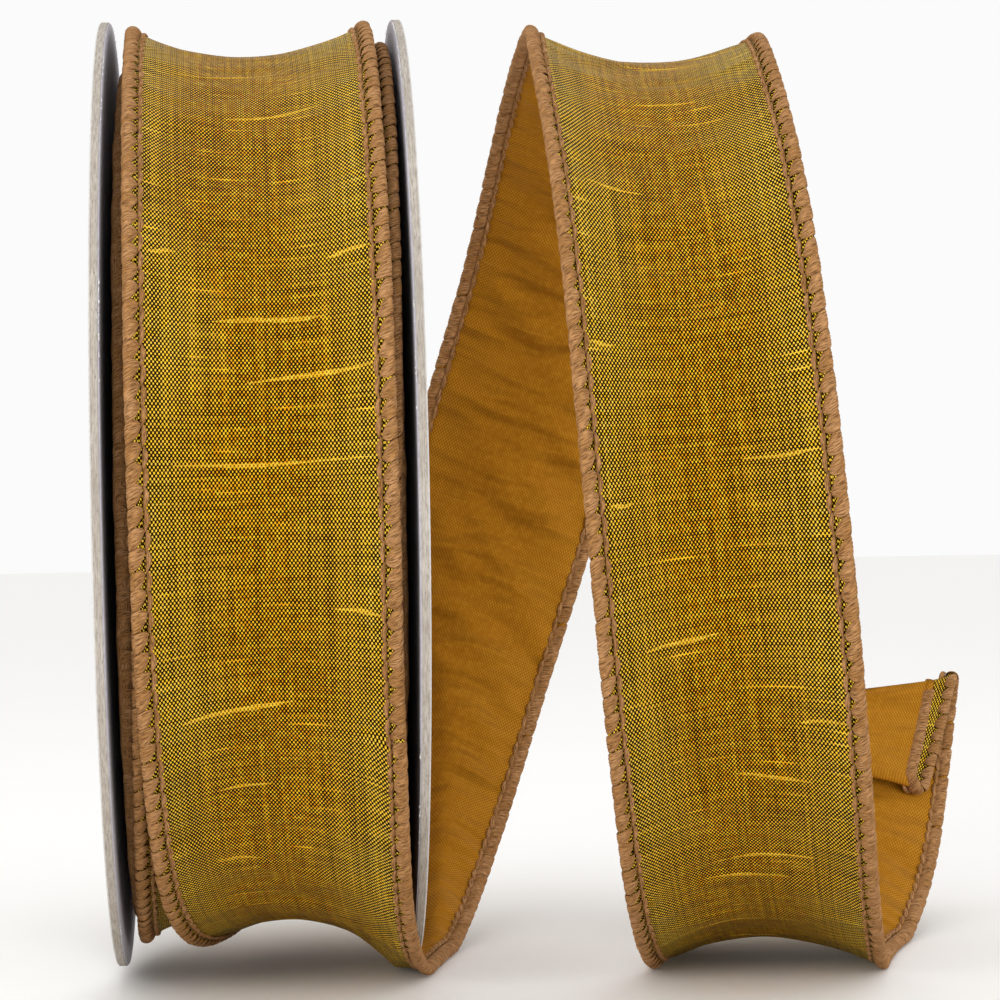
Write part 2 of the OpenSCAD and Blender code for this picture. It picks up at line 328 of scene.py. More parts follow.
def woven(
    name, dark, weft, weft_shaded_middle, weft_sheen_edges, cover, slub_cover, relief, roughness, stripes=0.55, rumple=0.0,
):
    """A plain weave: cover is how much of the face the weft dots take up. The colours for the ribbon's middle
    and its edges are painted shade and painted sheen.
    """
    material, tree, shader = new_material(name)
    uv = add(tree, "ShaderNodeUVMap", {"uv_map": "cloth_mm"}).outputs[0]
    xy = add(tree, "ShaderNodeSeparateXYZ", i0=uv)
    x, y = xy.outputs[0], xy.outputs[1]
    # Threads wander by a small part of their spacing.
    wander = add(tree, "ShaderNodeTexNoise", {"noise_dimensions": "2D"}, Vector=uv, Scale=0.2, Detail=1.0)
    push = add(
        tree, "ShaderNodeMath", {"operation": "MULTIPLY_ADD"}, i0=wander.outputs[0], i1=0.16, i2=-0.08,
    )
    x2 = add(tree, "ShaderNodeMath", {"operation": "ADD"}, i0=x, i1=push.outputs[0])
    y2 = add(tree, "ShaderNodeMath", {"operation": "MULTIPLY_ADD"}, i0=push.outputs[0], i1=1.2, i2=y)
    sx = add(tree, "ShaderNodeMath", {"operation": "MULTIPLY"}, i0=x2.outputs[0], i1=math.pi / WARP_MM)
    sy = add(tree, "ShaderNodeMath", {"operation": "MULTIPLY"}, i0=y2.outputs[0], i1=math.pi / WEFT_MM)
    wx = add(tree, "ShaderNodeMath", {"operation": "SINE"}, i0=sx.outputs[0])
    wy = add(tree, "ShaderNodeMath", {"operation": "SINE"}, i0=sy.outputs[0])
    grid = add(tree, "ShaderNodeMath", {"operation": "MULTIPLY"}, i0=wx.outputs[0], i1=wy.outputs[0])
    # Each weft thread is thicker in some places: noise that is long across and one thread high.
    along_weft = add(tree, "ShaderNodeCombineXYZ", i0=x, i1=y)
    stretch = add(
        tree, "ShaderNodeVectorMath", {"operation": "MULTIPLY"}, i0=along_weft.outputs[0], i1=(
            0.09, 2.3, 1.0,
        )
    )
    thick = add(
        tree, "ShaderNodeTexNoise", {"noise_dimensions": "2D"}, Vector=stretch.outputs[0], Scale=1.0,
        Detail=1.0,
    )
    slub = add(
        tree, "ShaderNodeMapRange", {"clamp": True}, Value=thick.outputs[0], From_Min=0.76, From_Max=0.86,
        To_Min=0.0, To_Max=slub_cover,
    )
    uneven = add(
        tree, "ShaderNodeMath", {"operation": "MULTIPLY_ADD"}, i0=thick.outputs[0], i1=0.5, i2=cover - 0.25,
    )
    # Warp threads differ too, which shows as fine stripes along the ribbon where it turns away.
    stripe_at = add(tree, "ShaderNodeVectorMath", {"operation": "MULTIPLY"}, i0=uv, i1=(1.9, 0.03, 1.0))
    stripe = add(
        tree, "ShaderNodeTexNoise", {"noise_dimensions": "2D"}, Vector=stripe_at.outputs[0], Scale=1.0,
    )
    striped = add(
        tree, "ShaderNodeMath", {"operation": "MULTIPLY_ADD"}, i0=stripe.outputs[0], i1=stripes,
        i2=-stripes / 2,
    )
    lifted = add(tree, "ShaderNodeMath", {"operation": "ADD"}, i0=grid.outputs[0], i1=uneven.outputs[0])
    lifted = add(tree, "ShaderNodeMath", {"operation": "ADD"}, i0=lifted.outputs[0], i1=striped.outputs[0])
    lifted = add(tree, "ShaderNodeMath", {"operation": "ADD"}, i0=lifted.outputs[0], i1=slub.outputs[0])
    dots = add(
        tree, "ShaderNodeMapRange", {"clamp": True, "interpolation_type": "SMOOTHSTEP"},
        Value=lifted.outputs[0], From_Min=-0.05, From_Max=0.42,
    )
    # Painted sheen and shade: the weft is painted darker and warmer in the middle of the ribbon and lighter
    # and greener towards its edges, as the shot cloth catches the light across its width.
    edge = add(tree, "ShaderNodeMath", {"operation": "ABSOLUTE"}, i0=x)
    cloud = add(tree, "ShaderNodeTexNoise", {"noise_dimensions": "2D"}, Vector=uv, Scale=0.06, Detail=3.0)
    cloud2 = add(
        tree, "ShaderNodeMath", {"operation": "MULTIPLY_ADD"}, i0=cloud.outputs[0], i1=14.0, i2=-7.0,
    )
    edge2 = add(tree, "ShaderNodeMath", {"operation": "ADD"}, i0=edge.outputs[0], i1=cloud2.outputs[0])
    side = add(
        tree, "ShaderNodeMapRange", {"clamp": True}, Value=edge2.outputs[0], From_Min=5.0, From_Max=16.0,
    )
    painted_sheen_tone = add(tree, "ShaderNodeMix", {"data_type": "RGBA"}, i6=linear(weft_shaded_middle), i7=linear(weft_sheen_edges))
    tree.links.new(side.outputs[0], painted_sheen_tone.inputs[0])
    lively = add(tree, "ShaderNodeTexNoise", {"noise_dimensions": "2D"}, Vector=uv, Scale=0.9, Detail=2.0)
    pick = add(
        tree, "ShaderNodeMapRange", {"clamp": True}, Value=lively.outputs[0], From_Min=0.35, From_Max=0.7,
    )
    yellow = add(
        tree, "ShaderNodeMix", {"data_type": "RGBA"}, i0=pick.outputs[0], i6=painted_sheen_tone.outputs[2],
        i7=linear(weft),
    )
    colour = add(
        tree, "ShaderNodeMix", {"data_type": "RGBA"}, i0=dots.outputs[0], i6=linear(dark),
        i7=yellow.outputs[2],
    )
    tree.links.new(colour.outputs[2], shader.inputs["Base Color"])
    bump = add(tree, "ShaderNodeBump", Strength=1.0, Distance=relief * MM, Height=lifted.outputs[0])
    if rumple:  # soft slanting wrinkles of the loose side
        turned = add(tree, "ShaderNodeMapping", Vector=uv, Rotation=(0, 0, 0.45), Scale=(0.05, 0.17, 1.0))
        wrinkle = add(
            tree, "ShaderNodeTexNoise", {"noise_dimensions": "2D"}, Vector=turned.outputs[0], Scale=1.0,
        )
        wrinkle.inputs["Detail"].default_value = 1.5
        swell = add(tree, "ShaderNodeBump", Strength=1.0, Distance=rumple * MM, Height=wrinkle.outputs[0])
        tree.links.new(bump.outputs[0], swell.inputs["Normal"])
        bump = swell
    tree.links.new(bump.outputs[0], shader.inputs["Normal"])
    shader.inputs["Roughness"].default_value = roughness
    shader.inputs["Specular IOR Level"].default_value = 0.15
    shader.inputs["Specular Tint"].default_value = linear("#dca038")
    return material


# Each weave gets a painted-shade colour for the ribbon's middle and a painted-sheen colour for its edges.
cloth_face = woven(
    "shot_dupioni_woven_face", "#170b05", "#f8c52a", "#e09a12", "#f5ce4c", -0.07, 0.7, 0.05, 0.55,
    rumple=1.1,
)
cloth_back = woven(
    "shot_dupioni_wrong_side", "#955f12", "#bb8226", "#a46c1b", "#b47e26", 0.12, 0.3, 0.008, 0.75,
    stripes=0.3, rumple=4.5,
)
print(
    "woven cloth:", round(1 / WARP_MM * 10), "warp threads and", round(1 / WEFT_MM * 10),
    "weft threads a cm",
)

# %% [markdown]
# ## The cloth between the edges
# The cloth is thin, and its two sides look different, so it is a thin closed sheet with a face and a
# wrong side. It isn't flat between its edges. Puckers form where the stitches pull on it, long low
# ripples run across it, and the strip at the back has slanting creases from being held on the spool.
# A cloth simulation would lose the loops, which the wires hold, so ripples are added as sums of waves
# with seeded lengths and phases.

# %% Ripples
RIBBON_SEED = 11
shape = np.random.default_rng(RIBBON_SEED)
RIPPLES = [
    (length, slant, shape.uniform(0, 2 * np.pi), height)
    for length, slant, height in [
        (23, 0.25, 0.13), (14.5, -0.35, 0.10), (9.2, 0.5, 0.07), (6.1, -0.2, 0.04),
    ]
]
UNDER_THREAD = (0.93, 1.0)  # shares of the half width where stitches hold the cloth flat
PUCKERS = [(7.9, 0.09), (5.3, 0.10), (11.3, 0.07)]
PUCKER_PHASES = shape.uniform(0, 2 * np.pi, (2, len(PUCKERS)))
CREASES = [(12.5, 0.62, 0.75), (17.0, 0.42, 0.55), (8.3, 0.80, 0.32)]
CREASE_PHASES = shape.uniform(0, 2 * np.pi, (2, len(CREASES)))
CREASED_FROM, CREASED_TO = (170, 195), (330, 365)  # angles where creases fade in and out
CREASE_CLEAR = (2.5, 10)  # mm from the rim of the right flange
PUCKER_REACH = 2.6  # mm in from an edge


def smooth_step(x, low, high):
    f = np.clip((x - low) / (high - low), 0, 1)
    return f * f * (3 - 2 * f)


def relief_of_cloth(t, u):
    """How far the cloth stands out from its plain curve, in millimetres."""
    s, x = along(t), u * EDGE_SPAN / 2
    inside = 1 - smooth_step(np.abs(u), 0.75, 1.0)
    total = sum(h * np.sin(2 * np.pi * (s + x * slant) / length + p) for length, slant, p, h in RIPPLES)
    total = total * inside
    for side, phases in ((-1, PUCKER_PHASES[0]), (1, PUCKER_PHASES[1])):
        near_edge = np.exp(-np.abs(u - side) * EDGE_SPAN / 2 / PUCKER_REACH)
        near = near_edge * (1 - smooth_step(u * side, *UNDER_THREAD))
        for (length, height), phase in zip(PUCKERS, phases):
            total = total + near * height * np.sin(2 * np.pi * s / length + phase)
    held = smooth_step(t, *CREASED_FROM) * (1 - smooth_step(t, *CREASED_TO))
    held = held * smooth_step(np.abs(row_at(t)[..., 0] + x - RIM_X), *CREASE_CLEAR)
    for (length, slant, height), (p, q) in zip(CREASES, CREASE_PHASES.T):
        patch = np.sin(2 * np.pi * (s * 0.6 - x) / (length * 4.1) + q)
        wave = np.sin(2 * np.pi * (s + x * slant) / length + p + 0.8 * patch)
        sharp = np.sign(wave) * np.abs(wave) ** 1.5
        total = total + held * inside * height * sharp * (0.5 + 0.5 * patch)
    return total


# %% [markdown]
# Each stretch of the loose ribbon is one sheet. A ring goes across the face and back across the
# wrong side, and the rings follow each other along the route, about a millimetre apart.

# %% Cloth sheets
CLOTH_T = 0.24
ACROSS = 44
TURN_STEP = 1.0


def cloth_rings(t):
    """Rings round the thin sheet at each angle, and their places on the flat cloth."""
    u = np.linspace(-1, 1, ACROSS + 1)
    tt, uu = np.meshgrid(t, u, indexing="ij")
    out = relief_of_cloth(tt, uu)
    face = above_floor(ribbon_point(tt, uu, out + CLOTH_T / 2), CLOTH_T + 0.05)
    back = above_floor(ribbon_point(tt, uu, out - CLOTH_T / 2), 0.05)
    flat = np.stack([uu * EDGE_SPAN / 2, along(tt)], -1)
    return np.concatenate([face, back[:, ::-1]], 1), np.concatenate([flat, flat[:, ::-1]], 1)


def sheet_materials(rows):
    """Face material on the first half of each ring, wrong side on the second."""
    one = np.array([0] * ACROSS + [1] * (ACROSS + 2))
    return np.concatenate([np.tile(one, rows - 1), [0, 0]])


def cloth_sheet(name, t0, t1):
    t = np.linspace(t0, t1, int((t1 - t0) / TURN_STEP) + 1)
    points, flat = cloth_rings(t)
    faces = ring_faces(len(t), points.shape[1])
    return new_piece(name, points, faces, [cloth_face, cloth_back], flat, sheet_materials(len(t)))


STRETCHES = {
    "second_turn": (ROUTE_START, SECOND_END),
    "loose_turn": (SECOND_END, LOOSE_END),
    "tail_rise": (LOOSE_END, RISE_END),
    "tail_fall": (RISE_END, FALL_END),
    "tail_curl": (FALL_END, CURL_END),
}
cloths = {}
for name, (t0, t1) in STRETCHES.items():
    cloths[name] = cloth_sheet(name + "_cloth", t0, t1)
    print(name, round(along(t1) - along(t0)), "mm of ribbon")

# %% [markdown]
# ## The overlocked edges
# Each long edge of the cloth is folded round a thin steel wire and overlocked: a soft thread is
# wrapped over the edge at every stitch, and a chain of loops holds it down on the cloth. The thread
# is fluffy, so a stitch fans out from its needle hole and its filaments show as fine ridges.
# A twisted curve would look like rope, and a bump map would leave the outline smooth, so each stitch
# is a small skin of its own, built from its needle hole, over the edge, and back beneath.

# %% Thread material
def spun_thread(name, light, mid, dark):
    """Textured polyester thread: matt and hairy, with painted shade in the grooves between its filaments."""
    material, tree, shader = new_material(name)
    uv = add(tree, "ShaderNodeUVMap", {"uv_map": "cloth_mm"}).outputs[0]
    stretch = add(tree, "ShaderNodeVectorMath", {"operation": "MULTIPLY"}, i0=uv, i1=(6.0, 0.9, 1.0))
    fibre = add(
        tree, "ShaderNodeTexNoise", {"noise_dimensions": "2D"}, Vector=stretch.outputs[0], Scale=1.0,
        Detail=3.0, Roughness=0.6,
    )
    # The dark colour is painted shade: it lies where the fibre bump is low, between the filaments.
    tone = add(
        tree, "ShaderNodeMapRange", {"clamp": True}, Value=fibre.outputs[0], From_Min=0.32, From_Max=0.62,
    )
    patch = add(tree, "ShaderNodeTexNoise", {"noise_dimensions": "2D"}, Vector=uv, Scale=0.35, Detail=2.0)
    warm = add(
        tree, "ShaderNodeMapRange", {"clamp": True}, Value=patch.outputs[0], From_Min=0.35, From_Max=0.65,
    )
    body = add(
        tree, "ShaderNodeMix", {"data_type": "RGBA"}, i0=warm.outputs[0], i6=linear(mid), i7=linear(light),
    )
    colour = add(
        tree, "ShaderNodeMix", {"data_type": "RGBA"}, i0=tone.outputs[0], i6=linear(dark),
        i7=body.outputs[2],
    )
    tree.links.new(colour.outputs[2], shader.inputs["Base Color"])
    bump = add(tree, "ShaderNodeBump", Strength=0.9, Distance=0.08 * MM, Height=fibre.outputs[0])
    tree.links.new(bump.outputs[0], shader.inputs["Normal"])
    shader.inputs["Roughness"].default_value = 0.85
    shader.inputs["Specular IOR Level"].default_value = 0.2
    shader.inputs["Sheen Weight"].default_value = 0.06
    shader.inputs["Sheen Roughness"].default_value = 0.5
    shader.inputs["Sheen Tint"].default_value = linear("#d8a878")
    return material


thread = spun_thread("textured_polyester_thread_overlocked", "#bc8c5c", "#a87845", "#62401f")

# %% [markdown]
# A track carries the stitches: a dense line along the middle of an edge, with three directions at
# each point. One runs along the edge, one away from the cloth, and one out of its face.

# %% Tracks along an edge
TRACK_STEP = 0.2


def make_track(points, outward, side):
    """Arc lengths, points and directions of a line; outward points out of the face of the cloth."""
    length = np.concatenate([[0], np.cumsum(np.linalg.norm(np.diff(points, axis=0), axis=1))])
    ahead = np.gradient(points, length, axis=0)
    ahead /= np.linalg.norm(ahead, axis=1)[:, None]
    out = outward - (outward * ahead).sum(1)[:, None] * ahead
    out /= np.linalg.norm(out, axis=1)[:, None]
    away = np.cross(ahead, out)
    away *= np.sign(away[:, 0].mean()) * side
    return length, np.concatenate([points, ahead, away, out], 1)


def on_track(track, s, b, n):
    """Points at a distance s along a track, b away from the cloth and n out of its face."""
    length, data = track
    s, b, n = np.broadcast_arrays(s, b, n)
    past = s - np.clip(s, length[0], length[-1])
    at = np.stack([np.interp(s.ravel(), length, data[:, k]) for k in range(12)], -1).reshape(*s.shape, 12)
    at = at.reshape(*s.shape, 4, 3)
    return at[..., 0, :] + past[..., None] * at[..., 1, :] + b[..., None] * at[..., 2, :] + n[..., None] * at[
        ..., 3, :,
    ]


def edge_track(side, t0, t1):
    """The track of one edge of the loose ribbon between two angles."""
    t = np.linspace(t0, t1, int((t1 - t0) * 1.2 / TRACK_STEP) + 2)
    middle = above_floor(ribbon_point(t, side), EDGE_R)
    across = ribbon_point(t, side) - ribbon_point(t, side * 0.9)
    ahead = ribbon_point(t + 0.5, side) - ribbon_point(t - 0.5, side)
    out = np.cross(across, ahead)
    radial = ribbon_point(t, side) * [0, 1, 1]
    out *= np.sign((out * radial).sum(1))[:, None]
    return make_track(middle, out, side)


# %% [markdown]
# The stitch itself: its middle line goes round an oval, from the needle hole at the inside of the
# edge, over the top, down past the outside and back to the hole on the wrong side. It leans, because
# the machine feeds the cloth forward while the thread swings over. The fan is narrow at the holes
# and as wide as the stitch spacing on the outside.

# %% Stitches
PITCH = 2.75
LEAN = 1.35
OVAL_B, OVAL_N, OVAL_MID = 1.0, 0.84, -0.05
FAN_RINGS = 15
FAN_TOP, FAN_UNDER = 19, 5
LOBES = 5


def stitches(track, side, starts, rng, squash=1.0):
    """The fans of thread of one edge: points and flat places for each stitch."""
    q = np.linspace(0, 1, FAN_RINGS)[None, :, None]
    v = np.concatenate([np.linspace(-1, 1, FAN_TOP), np.linspace(1, -1, FAN_UNDER + 2)[1:-1]])[
        None, None, :,
    ]
    top = np.concatenate([np.ones(FAN_TOP), np.zeros(FAN_UNDER)])[None, None, :]
    count = len(starts)
    pick = rng.uniform(-1, 1, (6, count, 1, 1))
    phi = np.radians(172 - 344 * q + 4 * pick[0])
    wide = 0.20 + (1.22 + 0.10 * pick[1]) * smooth_step(np.minimum(q, 1.22 - q), -0.03, 0.30)
    lean = LEAN * (1 + 0.12 * pick[2]) * 2 * q
    lobes = np.cos(np.pi * LOBES * v + 2.5 * pick[3] + 3.0 * q)
    crown = np.sqrt(np.maximum(0, 1 - v**2))
    rise = top * (0.16 * crown + 0.035 * lobes * crown + 0.06 * v * side) - (1 - top) * 0.18
    ease = np.sin(np.pi * q) ** 0.35
    tuck = 0.30 * (1 - np.sin(np.pi * q)) ** 2  # the ends reach in to the needle holes
    b = OVAL_MID - tuck + (OVAL_B - 0.12 + rise * ease + 0.05 * pick[4]) * np.cos(phi)
    n = (OVAL_N - 0.12 + rise * ease + 0.03 * pick[5]) * np.sin(phi) * squash
    s = np.asarray(starts)[:, None, None] - side * (lean - LEAN) + wide * v
    points = on_track(track, s, b, n)
    flat = np.stack(np.broadcast_arrays(v * 1.35 + 7 * pick[0], q * 5.5 + 11 * pick[1] + 0 * v), -1)
    return points, flat


LINK_RINGS, LINK_SIDES = 9, 10


def chain_links(track, side, starts, rng, face):
    """The loops that hold the stitches down: a lens of thread from each needle hole to the next."""
    q = np.linspace(0, 1, LINK_RINGS)[None, :, None]
    a = (np.arange(LINK_SIDES) * 2 * np.pi / LINK_SIDES)[None, None, :]
    pick = rng.uniform(-1, 1, (4, len(starts), 1, 1))
    wide = 0.06 + (0.36 + 0.04 * pick[0]) * np.sin(np.pi * q) ** 0.9
    ply = 1 + 0.10 * np.cos(2 * a + 5 * q)
    bow = -1.42 - 0.20 * np.sin(np.pi * q) - 0.26 * (q - 0.5) * side + 0.05 * pick[1]
    b = bow + wide * np.cos(a) * ply
    n = face * (0.20 + 0.10 * np.sin(np.pi * q) + 0.05 * (1 - q)) + 0.62 * wide * np.sin(a) * ply
    s = np.asarray(starts)[:, None, None] + PITCH * (1.14 * q - 0.07) + 0.05 * pick[2] + 0 * a
    points = on_track(track, s, b, n)
    flat = np.stack(np.broadcast_arrays(a * 0.4 + 5 * pick[0], q * 2.7 + 9 * pick[1]), -1)
    return points, flat


def core_cord(track, s0, s1):
    """The edge of the cloth, rolled round its wire: an oval rod that the stitches wrap."""
    s = np.linspace(s0, s1, int((s1 - s0) / 1.2) + 2)[None, :, None]
    a = (np.arange(10) * 2 * np.pi / 10)[None, None, :]
    points = on_track(track, s, OVAL_MID + 0.78 * np.cos(a), 0.62 * np.sin(a) + 0 * s)
    flat = np.stack(np.broadcast_arrays(EDGE_SPAN / 2 + a * 0.7, s + 0 * a), -1)
    return points, flat


def stitched_edge(name, track, side, s0, s1, first, seed, faces_of_cloth=(1, -1)):
    """One piece: the rod, the fans of thread and the chains along an edge from s0 to s1."""
    rng = np.random.default_rng(seed)
    starts = np.arange(first, s1 - PITCH * 0.35, PITCH)
    starts = starts + rng.uniform(-0.12, 0.12, len(starts))
    parts = [(core_cord(track, s0, s1), 1), (stitches(track, side, starts, rng), 0)]
    for face in faces_of_cloth:
        parts.append((chain_links(track, side, starts - PITCH / 2, rng, face), 0))
    points, flat, faces, material = [], [], [], []
    base = 0
    for (p, f), slot_index in parts:
        copies, rings, round_ = p.shape[:3]
        new_faces = ring_faces(rings, round_, copies)
        first_skin = new_faces[: (rings - 1) * round_ + 2]
        if signed_volume(p[0].reshape(-1, 3), first_skin) < 0:
            new_faces = [face[::-1] for face in new_faces]
        faces += [[k + base for k in face] for face in new_faces]
        material += [slot_index] * len(new_faces)
        if slot_index:  # the rod shows the cloth's face above and its wrong side below
            material[-len(new_faces) :] = [1 + (k % round_ >= round_ // 2) for k in range(len(new_faces))]
        points.append(p.reshape(-1, 3))
        flat.append(f.reshape(-1, 2))
        base += len(points[-1])
    made = new_piece(
        name, np.concatenate(points), faces, [thread, cloth_face, cloth_back], np.concatenate(flat),
        material,
    )
    return made, len(starts)


stitching = {}
next_start = {}  # from the end of the route to the next stitch
for side, side_name in ((-1, "left"), (1, "right")):
    whole = edge_track(side, ROUTE_START, CURL_END)
    t_dense = np.linspace(ROUTE_START, CURL_END, len(whole[0]))
    for order, (name, (t0, t1)) in enumerate(STRETCHES.items()):
        s0, s1 = np.interp([t0, t1], t_dense, whole[0])
        first = math.ceil(s0 / PITCH - 0.35) * PITCH
        piece, count = stitched_edge(
            f"{name}_{side_name}_stitching", whole, side, s0, s1, first, 100 + order * 2 + (side > 0)
        )
        stitching[name, side_name] = piece
        next_start[side] = math.ceil(s1 / PITCH - 0.35) * PITCH - s1
        print(piece.name, count, "stitches,", len(piece.data.polygons), "faces")

# %% [markdown]
# ## The folded end
# The last of the ribbon is folded over twice, so that the cut edge is hidden: up, over and back
# down inside the curl, then over again and up. The fold is drawn as one flat path of lines and
# half circles, and the cloth and its stitched edges both follow it.

# %% Fold path
BEND_R, FLAP, FLAP_DROOP, LAST_LAYER, LAST_LIFT = 1.2, 17.0, 1.0, 16.0, 0.9
SLIDES = [0, -0.8, -3.2, -5.6, -4.4]  # along the axis, at the start and after each part


def fold_rows(step=0.2):
    """Distance past the curl's end, drop inside the ribbon and slide along the axis."""
    turn = np.radians(np.linspace(90, -90, 24))
    line = np.linspace(0, 1, int(FLAP / step))
    share = np.linspace(0, 1, len(turn))
    parts = [
        (BEND_R * np.cos(turn), BEND_R * (np.sin(turn) - 1), share),
        (-FLAP * line, -2 * BEND_R - FLAP_DROOP * line, line),
        (-FLAP - BEND_R * np.cos(turn), -3 * BEND_R - FLAP_DROOP + BEND_R * np.sin(turn), share),
        (-FLAP + LAST_LAYER * line, -4 * BEND_R - FLAP_DROOP + LAST_LIFT * line, line),
    ]
    rows = []
    for k, (past, drop, f) in enumerate(parts):
        slide = SLIDES[k] + (SLIDES[k + 1] - SLIDES[k]) * f
        rows.append(np.stack([past, drop, slide], -1)[(1 if k else 0):])
    return np.concatenate(rows)


FOLD = fold_rows()
FOLD_LEN = np.concatenate([[0], np.cumsum(np.linalg.norm(np.diff(FOLD[:, :2], axis=0), axis=1))])
CURL_R = float(row_at(CURL_END)[1])


def fold_point(v, u, lean=0.0):
    """A point v millimetres along the fold, at u across it and lean out of the face of the cloth."""
    v, u = np.broadcast_arrays(np.asarray(v, float), np.asarray(u, float))
    past, drop, slide = (np.interp(v, FOLD_LEN, FOLD[:, k]) for k in range(3))
    ahead, below = (
        np.interp(v + 0.3, FOLD_LEN, FOLD[:, k]) - np.interp(v - 0.3, FOLD_LEN, FOLD[:, k])
        for k in (0, 1)
    )
    size = np.hypot(ahead, below)
    past = past - lean * below / size
    drop = drop + lean * ahead / size
    return ribbon_point(CURL_END + past * 180 / (np.pi * CURL_R), u, drop, slide)


v = np.arange(0, FOLD_LEN[-1], 0.4)
vv, uu = np.meshgrid(v, np.linspace(-1, 1, ACROSS + 1), indexing="ij")
sag = -0.25 * np.sin(np.pi * vv / 9.0 + 1.0) * (1 - uu**2) * smooth_step(vv, 3, 8)
face = fold_point(vv, uu, CLOTH_T / 2 + sag)
back = fold_point(vv, uu, -CLOTH_T / 2 + sag)
flat = np.stack([uu * EDGE_SPAN / 2, along(CURL_END) + vv], -1)
fold_cloth = new_piece(
    "folded_end_cloth",
    np.concatenate([face, back[:, ::-1]], 1),
    ring_faces(len(v), 2 * (ACROSS + 1)),
    [cloth_face, cloth_back],
    np.concatenate([flat, flat[:, ::-1]], 1),
    sheet_materials(len(v)),
)
fold_edges = []
for side, side_name in ((-1, "left"), (1, "right")):
    v = np.arange(0, FOLD_LEN[-1], TRACK_STEP)
    line = fold_point(v, side)
    fold_line = make_track(line, fold_point(v, side, 0.5) - line, side)
    piece, count = stitched_edge(
        f"folded_end_{side_name}_stitching",
        fold_line, side, 0.0, fold_line[0][-1], next_start[side], 140 + side,
    )
    fold_edges.append(piece)
    print(piece.name, count, "stitches")
print("the fold takes", round(FOLD_LEN[-1]), "mm of ribbon")

# %% [markdown]
# ## Slubs
# A slub is a thick, soft place in the weft yarn. It lies on the face as a pale yellow streak with
# tapered ends, and the warp threads mark it with small dark ticks. The long ones stand up from the
# cloth enough to see, so each of them is a low lens of yarn laid along its weft thread.

# %% Slub yarn
slub_yarn = woven(
    "dupioni_slub_yarn_in_the_weft", "#7a520a", "#f2ca44", "#e8b026", "#ecc444", 0.26, 0.3, 0.05, 0.6,
)
SLUB_RINGS, SLUB_SIDES, SLUB_UP = 40, 8, 0.03
# Angle on the route, place across from the middle, length, climb over the length, width.
SLUBS = [
    (25, -3, 18, 3.6, 0.5), (37, 3, 14, 2.1, 0.75), (61.5, -13, 4, 0.5, 0.6), (61.8, 12.5, 6, 0.8, 0.7),
    (69.8, 1.5, 16, 0.2, 0.8), (76.8, 8, 20, 2.0, 0.75), (87.2, 0, 25, 0.3, 0.6), (104.7, 13, 8, -0.7, 0.6),
    (117.1, -4.5, 16, 1.8, 0.85), (128.5, -4.5, 8, 0.1, 0.6), (434, -14, 5, -0.3, 0.6), (
        468.3, -6, 11, 0.9, 0.7,
    ),
    (487, 5, 11, -1.1, 0.7), (448, 10.5, 11, 0.3, 0.5), (479, 12.5, 7, 0.8, 0.5), (412.6, -9, 9, -1.0, 0.5),
    (516.5, -6.5, 14, 1.1, 0.5), (452, -13, 3.5, 0, 0.6),
]
SEEDED_SLUBS = 22
pick = np.random.default_rng(5)
for _ in range(SEEDED_SLUBS):
    angle = pick.choice(
        [pick.uniform(-40, 10), pick.uniform(140, 350), pick.uniform(365, 405), pick.uniform(500, 590)]
    )
    SLUBS.append(
        (angle, pick.uniform(-11, 11), pick.uniform(5, 15), pick.uniform(-1, 1), pick.uniform(0.4, 0.75))
    )


def slub_skins(rows):
    """The lenses of yarn of these slubs, as rings along each of them."""
    q = np.linspace(0, 1, SLUB_RINGS)[None, :, None]
    a = (np.arange(SLUB_SIDES) * 2 * np.pi / SLUB_SIDES)[None, None, :]
    angle, place, length, climb, width = (np.array(rows)[:, k, None, None] for k in range(5))
    wave = np.random.default_rng(8).uniform(0, 2 * np.pi, (2, len(rows), 1, 1))
    ragged = np.random.default_rng(9).uniform(-0.24, 0.24, (len(rows), SLUB_RINGS, 1))
    taper = np.sin(np.pi * q) ** 0.7 * (1 + 0.22 * np.sin(11 * q + wave[0]) + ragged)
    x = place + (q - 0.5) * length
    s = -climb * (q - 0.5) + 0.12 * np.sin(7 * q + wave[1]) + (0.02 + width / 2 * taper) * np.cos(a)
    up = SLUB_UP * (0.3 + taper) * np.sin(a)
    u = x / (EDGE_SPAN / 2)
    t = angle + np.degrees(s / 68.0)
    u, t, up = np.broadcast_arrays(u, t, up)
    points = ribbon_point(t, u, relief_of_cloth(t, u) + CLOTH_T / 2 + up)
    return points, np.stack([u * EDGE_SPAN / 2, along(t)], -1)


slub_points, slub_flat = slub_skins(SLUBS)
slubs = new_piece(
    "weft_slubs", slub_points, ring_faces(SLUB_RINGS, SLUB_SIDES, len(SLUBS)), [slub_yarn], slub_flat
)
print(len(SLUBS), "slubs on the face of the cloth")

# %% [markdown]
# ## The wound pack
# Under the loose turns the ribbon goes on round the core for about eight metres. It is one spiral:
# its edges stack up because the stitched cords are thick, and the thin cloth between them sinks in
# more with every turn. Modelling the spiral costs little, and it shows true layers from the side.

# %% Wound ribbon
WOUND_TURNS = 28
WOUND_IN, WOUND_OUT = 27.2, 63.4  # radius of the cords' middles at the first and the last turn
WOUND_EDGE_X, WOUND_HALF = 18.25, 17.4
WOUND_DIP_IN, WOUND_DIP_OUT = 0.3, 3.3
WOUND_STEP = 4  # degrees between rings
WOUND_ACROSS = 10
CORD_FLAT = 0.70  # the pack presses its cords flatter than the loose ones

turns = np.radians(np.arange(0, 360 * WOUND_TURNS + 0.1, WOUND_STEP))


def wound_radius(angle):
    return WOUND_IN + (WOUND_OUT - WOUND_IN) * angle / (2 * np.pi * WOUND_TURNS)


def spiral(angle, x, r):
    return np.stack(np.broadcast_arrays(x, -r * np.sin(angle), r * np.cos(angle)), -1)


